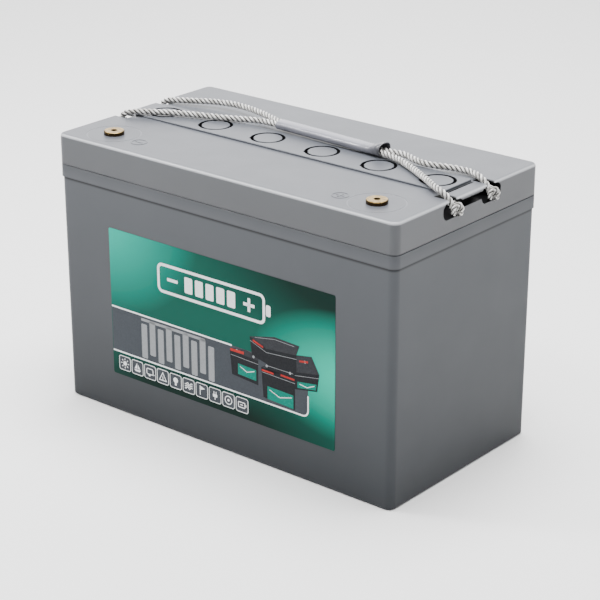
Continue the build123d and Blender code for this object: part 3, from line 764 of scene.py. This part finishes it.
def drawn(line, width, closed=False):
    """A line with that width: half of it to each side, measured along the corner's bisector."""
    line = np.asarray(line, float)
    n = len(line)
    ahead = np.roll(line, -1, axis=0) - line
    behind = line - np.roll(line, 1, axis=0)
    if not closed:
        ahead[-1], behind[0] = behind[-1], ahead[0]
    ahead /= np.linalg.norm(ahead, axis=1)[:, None]
    behind /= np.linalg.norm(behind, axis=1)[:, None]
    middle = ahead + behind
    middle /= np.linalg.norm(middle, axis=1)[:, None]
    out = np.column_stack([-middle[:, 1], middle[:, 0]])
    out *= width / 2 / np.maximum((middle * ahead).sum(axis=1), 0.5)[:, None]
    sides = ((1, 1.0), (-1, 1.0), (-1, 0.0), (1, 0.0))
    rails = [np.column_stack([line + sign * out, np.full(n, w)]) for sign, w in sides]
    points = np.stack(rails, axis=1).reshape(-1, 3)
    faces = tube_faces(n, 4).tolist()
    last = 4 * (n - 1)
    if closed:
        faces += [[last + a, last + (a + 1) % 4, (a + 1) % 4, a] for a in range(4)]
    else:
        faces += [[0, 1, 2, 3], [last, last + 1, last + 2, last + 3]]
    return points, faces


def rounded(u0, v0, u1, v1, r):
    """The outline of a rectangle with corners of radius r."""
    quarter = np.linspace(0, math.pi / 2, 7)
    corners = ((u1 - r, v1 - r, 0.0), (u0 + r, v1 - r, 0.5), (u0 + r, v0 + r, 1.0), (u1 - r, v0 + r, 1.5))
    return np.concatenate([
        np.column_stack([u + r * np.cos(quarter + a * math.pi), v + r * np.sin(quarter + a * math.pi)])
        for u, v, a in corners
    ])


def disc(u, v, r, n=28):
    """The outline of a circle."""
    a = np.linspace(0, 2 * math.pi, n, endpoint=False)
    return np.column_stack([u + r * np.cos(a), v + r * np.sin(a)])


def ink_material(name, dark, light):
    """One screen ink: a fine noise between two close tones, as the film's texture shows through."""
    material, tree, shader = blank_material(name)
    place = add_node(tree, "TexCoord").outputs["Object"]
    tone = colour_ramp(tree, noise(tree, place, 900.0, 3.0), (0.3, dark), (0.7, light))
    tree.links.new(tone, shader.inputs["Base Color"])
    shader.inputs["Roughness"].default_value = 0.4
    shader.inputs["Specular IOR Level"].default_value = 0.08
    return material


def printed(name, shapes, material, layer):
    """One mesh for all shapes in one ink, layer steps proud of the film."""
    points, faces, start = [], [], 0
    for shape_points, shape_faces in shapes:
        points.append(shape_points)
        faces += [[start + v for v in face] for face in shape_faces]
        start += len(shape_points)
    u, v, w = np.concatenate(points).T
    z = film_low[2] + v / 1000
    share = (z - film_low[2]) / (film_high[2] - film_low[2])
    front = FRONT_LOW + (FRONT_HIGH - FRONT_LOW) * share
    y = front + np.where(w > 0.5, -layer * INK_STEP, 2 * INK_STEP)
    mesh = bpy.data.meshes.new(name)
    mesh.from_pydata(np.column_stack([film_low[0] + u / 1000, y, z]).tolist(), [], faces)
    piece = bpy.data.objects.new(name, mesh)
    bpy.context.scene.collection.objects.link(piece)
    close_ends(piece)
    mesh.materials.append(material)
    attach(piece, "battery")


white_ink = ink_material("white_ink", (0.76, 0.78, 0.78), (0.86, 0.88, 0.88))
band_ink = ink_material("band_ink", (0.038, 0.044, 0.052), (0.046, 0.052, 0.061))
pale_ink = ink_material("pale_ink", (0.230, 0.240, 0.250), (0.270, 0.280, 0.290))
dark_ink = ink_material("dark_ink", (0.006, 0.007, 0.009), (0.012, 0.013, 0.016))
slate_ink = ink_material("slate_ink", (0.018, 0.020, 0.024), (0.030, 0.032, 0.037))
red_ink = ink_material("red_ink", (0.30, 0.015, 0.012), (0.42, 0.025, 0.020))
green_ink = ink_material("green_ink", (0.000, 0.14, 0.10), (0.000, 0.19, 0.14))

BAND = (0.4, 20.0, 200.0, 57.5)
band_left, band_low, band_right, band_high = BAND
turn = np.linspace(-math.pi / 2, 0, 8)
band_corner = np.column_stack([band_right - 5 + 5 * np.cos(turn), band_low + 5 + 5 * np.sin(turn)])
band_outline = np.concatenate(
    [[(band_left, band_high), (band_left, band_low)], band_corner, [(band_right, band_high)]]
)
printed("label_grey_band", [filled(band_outline)], band_ink, 1)
lower_line = np.concatenate([[(band_left, band_low)], band_corner, [(band_right, 37.0)]])
printed(
    "label_band_lines",
    [drawn(lower_line, 1.3), drawn([(band_left, band_high), (126.0, band_high)], 1.3)],
    white_ink,
    2,
)

BAR_LEFT, BAR_RIGHT, BAR_LOW, BAR_HIGH = 32.0, 108.0, 21.8, 54.5
bars = []
for n, left in enumerate(np.linspace(BAR_LEFT, BAR_RIGHT - 6.0, 9)):
    lift = 4.0 if n % 2 else 0.0
    bars.append(filled(rounded(left, BAR_LOW + lift, left + 6.0, BAR_HIGH - 4.0 + lift, 1.0)))
bars.append(filled(rounded(BAR_LEFT, BAR_HIGH - 1.6, BAR_RIGHT - 9.2, BAR_HIGH + 0.6, 0.6)))
printed("label_plate_bars", bars, pale_ink, 2)

SIGN = (52.0, 83.5, 158.0, 105.5)
sign_left, sign_low, sign_right, sign_high = SIGN
sign = [
    drawn(rounded(sign_left, sign_low, sign_right, sign_high, 4.0), 2.4, closed=True),
    filled(rounded(sign_right + 2.0, sign_low + 6.5, sign_right + 6.5, sign_high - 6.5, 1.5)),
    filled(rounded(61.0, 93.2, 72.0, 95.8, 0.5)),
    filled(rounded(138.0, 93.2, 149.0, 95.8, 0.5)),
    filled(rounded(142.2, 89.0, 144.8, 100.0, 0.5)),
]
sign += [filled(rounded(u, 88.0, u + 8.0, 101.0, 1.2)) for u in np.linspace(79.0, 122.0, 5)]
printed("label_battery_sign", sign, white_ink, 1)

ICON_FIRST, ICON_PITCH, ICON_WIDE, ICON_LOW, ICON_HIGH = 6.5, 13.66, 12.0, 5.0, 16.7
ICON_LINE, GLYPH_LINE = 0.55, 0.7


def place_glyph(left, outline):
    """Unit square outline, 0 to 1 each way, to the icon whose left edge is given."""
    size = np.array([ICON_WIDE, ICON_HIGH - ICON_LOW])
    return np.array([left, ICON_LOW]) + size * np.asarray(outline, float)


def sun():
    """A disc with eight rays."""
    rays = []
    for a in np.arange(8) * math.pi / 4:
        way = np.array([math.cos(a), math.sin(a)])
        rays.append(("line", [0.5 + 0.24 * way, 0.5 + 0.36 * way]))
    return [("fill", disc(0.5, 0.5, 0.16))] + rays


wave_u = np.linspace(0.18, 0.82, 17)
boat = [
    ("fill", [(0.2, 0.36), (0.8, 0.36), (0.68, 0.22), (0.32, 0.22)]),
    ("fill", [(0.47, 0.42), (0.47, 0.84), (0.24, 0.42)]),
    ("fill", [(0.53, 0.42), (0.53, 0.74), (0.74, 0.42)]),
]
caravan = [
    ("ring", rounded(0.2, 0.34, 0.76, 0.74, 0.1)),
    ("fill", disc(0.44, 0.28, 0.09)),
    ("line", [(0.76, 0.36), (0.88, 0.36)]),
]
tent = [("ring", [(0.2, 0.24), (0.8, 0.24), (0.5, 0.8)]), ("line", [(0.5, 0.26), (0.5, 0.52)])]
lamp = [("fill", disc(0.5, 0.58, 0.2)), ("fill", rounded(0.42, 0.2, 0.58, 0.38, 0.03))]
waves = [("line", np.column_stack([wave_u, v + 0.07 * np.sin(wave_u * 19.0)])) for v in (0.35, 0.5, 0.65)]
flag = [("line", [(0.36, 0.18), (0.36, 0.84)]), ("fill", [(0.4, 0.82), (0.4, 0.54), (0.78, 0.68)])]
plug = [
    ("fill", rounded(0.32, 0.38, 0.68, 0.6, 0.05)),
    ("line", [(0.41, 0.6), (0.41, 0.78)]),
    ("line", [(0.59, 0.6), (0.59, 0.78)]),
    ("line", [(0.5, 0.38), (0.5, 0.2)]),
]
wheel = [("ring", disc(0.5, 0.5, 0.28)), ("fill", disc(0.5, 0.5, 0.09))]
cell = [
    ("ring", rounded(0.2, 0.32, 0.74, 0.68, 0.05)),
    ("fill", rounded(0.79, 0.42, 0.86, 0.58, 0.02)),
    ("line", [(0.36, 0.5), (0.58, 0.5)]),
]
GLYPHS = (sun(), boat, caravan, tent, lamp, waves, flag, plug, wheel, cell)
plates, frames, glyphs = [], [], []
for n, glyph in enumerate(GLYPHS):
    left = ICON_FIRST + n * ICON_PITCH
    square = rounded(left, ICON_LOW, left + ICON_WIDE, ICON_HIGH, 1.8)
    plates.append(filled(square))
    frames.append(drawn(square, ICON_LINE, closed=True))
    for kind, outline in glyph:
        outline = place_glyph(left, outline)
        if kind == "fill":
            glyphs.append(filled(outline))
        else:
            glyphs.append(drawn(outline, GLYPH_LINE, closed=kind == "ring"))
printed("label_icon_plates", plates, band_ink, 1)
printed("label_icon_frames", frames, white_ink, 2)
printed("label_icon_glyphs", glyphs, white_ink, 3)

# four blocks with paler tops, posts and red caps; three show a plain green patch
back_top = [(144.0, 69.7), (168.0, 75.5), (192.0, 74.7), (189.0, 66.6), (160.0, 64.0)]
back_front = [(144.0, 69.7), (160.0, 64.0), (160.0, 52.0), (146.0, 55.0)]
back_side = [(160.0, 64.0), (189.0, 66.6), (189.0, 48.0), (160.0, 46.0)]
right_top = [(187.6, 66.6), (203.4, 69.4), (210.7, 57.0), (189.0, 53.0)]
right_front = [(187.6, 53.0), (210.7, 57.0), (208.6, 43.0), (187.6, 39.3)]
left_top = [(124.0, 55.0), (140.0, 57.5), (153.0, 54.8), (152.0, 51.5), (126.0, 52.5)]
left_front = [(124.0, 53.0), (152.0, 52.0), (152.0, 32.0), (126.0, 34.0)]
front_top = [(155.0, 48.0), (163.0, 52.5), (190.0, 53.0), (187.6, 47.5)]
front_front = [(155.0, 48.0), (187.6, 47.5), (187.6, 22.0), (157.0, 24.0)]
printed(
    "label_picture_tops",
    [filled(o) for o in (back_top, right_top, left_top, front_top)],
    slate_ink,
    3,
)
printed(
    "label_picture_blocks",
    [filled(o) for o in (back_front, back_side, right_front, left_front, front_front)],
    dark_ink,
    4,
)
patches = (
    [(132.0, 44.5), (150.0, 43.8), (150.0, 35.0), (132.0, 35.8)],
    [(161.0, 34.0), (186.0, 33.5), (186.0, 22.6), (161.0, 23.6)],
    [(190.0, 46.0), (208.0, 48.6), (207.4, 43.8), (190.0, 41.0)],
)
printed("label_picture_patches", [filled(o) for o in patches], green_ink, 5)
caps = (
    [(124.6, 54.9), (138.0, 55.4), (138.0, 53.2), (124.6, 53.0)],
    [(155.6, 46.5), (167.0, 46.4), (167.0, 45.0), (155.6, 45.1)],
    [(174.0, 47.4), (187.2, 47.1), (187.2, 45.7), (174.0, 45.9)],
    [(147.0, 68.2), (157.0, 65.0), (157.0, 63.6), (147.0, 66.6)],
    [(192.0, 63.5), (200.0, 64.8), (200.0, 63.4), (192.0, 62.1)],
)
printed("label_picture_caps", [filled(o) for o in caps], red_ink, 5)
seams = (
    [(144.4, 66.6), (160.0, 61.0), (189.0, 63.4)],
    [(187.6, 50.2), (210.2, 54.0)],
    [(125.0, 50.0), (152.0, 49.0)],
    [(155.6, 44.2), (187.6, 43.6)],
    [(149.0, 70.2), (168.0, 73.6), (187.0, 73.0)],
    [(161.0, 50.6), (186.0, 50.9)],
)
shine = (
    [(134.0, 42.6), (141.0, 39.6), (148.4, 42.2)],
    [(163.0, 31.6), (173.0, 28.0), (184.6, 31.2)],
    [(192.0, 44.6), (199.0, 43.6), (206.0, 46.8)],
)
printed("label_picture_seams", [drawn(line, 0.35) for line in seams], pale_ink, 5)
printed("label_picture_shine", [drawn(line, 0.5) for line in shine], white_ink, 5.5)
posts = ((160.5, 50.3), (183.0, 50.6), (131.0, 54.6), (147.5, 54.0), (197.0, 63.5))
printed("label_picture_posts", [filled(disc(u, v, 1.1)) for u, v in posts], pale_ink, 4.5)


# ----------------------------------------------------------- inside the battery
# Pasted plates, glass mats, cast lead, rubber and resin, each with its own
# grain; none of them shows until the cover is lifted off.


def grained(name, dark, light, roughness, scale, depth, metal=0.0):
    """A noise between two tones that also gives the surface its relief of that depth."""
    material, tree, shader = blank_material(name)
    place = add_node(tree, "TexCoord").outputs["Object"]
    grain = noise(tree, place, scale, 6.0, 0.62)
    tree.links.new(colour_ramp(tree, grain, (0.32, dark), (0.68, light)), shader.inputs["Base Color"])
    bumped(tree, shader, grain, 0.5, depth)
    shader.inputs["Roughness"].default_value = roughness
    shader.inputs["Metallic"].default_value = metal
    return material


positive_paste = grained("positive_paste", (0.050, 0.026, 0.016), (0.105, 0.058, 0.036), 0.8, 320.0, 0.0003)
negative_paste = grained(
    "negative_paste", (0.100, 0.104, 0.110), (0.180, 0.186, 0.194), 0.62, 320.0, 0.0003, 0.3
)
cast_lead = grained("cast_lead", (0.230, 0.240, 0.260), (0.400, 0.410, 0.430), 0.46, 180.0, 0.0002, 0.9)
glass_wool = grained("glass_wool", (0.640, 0.640, 0.610), (0.830, 0.830, 0.800), 0.9, 1400.0, 0.0002)
valve_rubber = grained("valve_rubber", (0.010, 0.010, 0.011), (0.022, 0.022, 0.024), 0.7, 700.0, 0.00006)
ring_rubber = grained("ring_rubber", (0.012, 0.012, 0.012), (0.020, 0.020, 0.021), 0.5, 500.0, 0.00004)
cast_resin = grained("cast_resin", (0.016, 0.016, 0.018), (0.030, 0.030, 0.033), 0.22, 90.0, 0.0002)
dress("lid_seal", cast_resin)
for i in range(1, 7):
    dress(f"valve_{i}", valve_rubber)
    dress(f"cell_{i}_positive_group", positive_paste)
    dress(f"cell_{i}_negative_group", negative_paste)
    dress(f"cell_{i}_separators", glass_wool)
for i in range(1, 6):
    dress(f"intercell_connector_{i}", cast_lead)
for pole in ("negative", "positive"):
    dress(f"{pole}_post", cast_lead)
    dress(f"{pole}_o_ring", ring_rubber)
    dress(f"{pole}_terminal_resin", cast_resin)
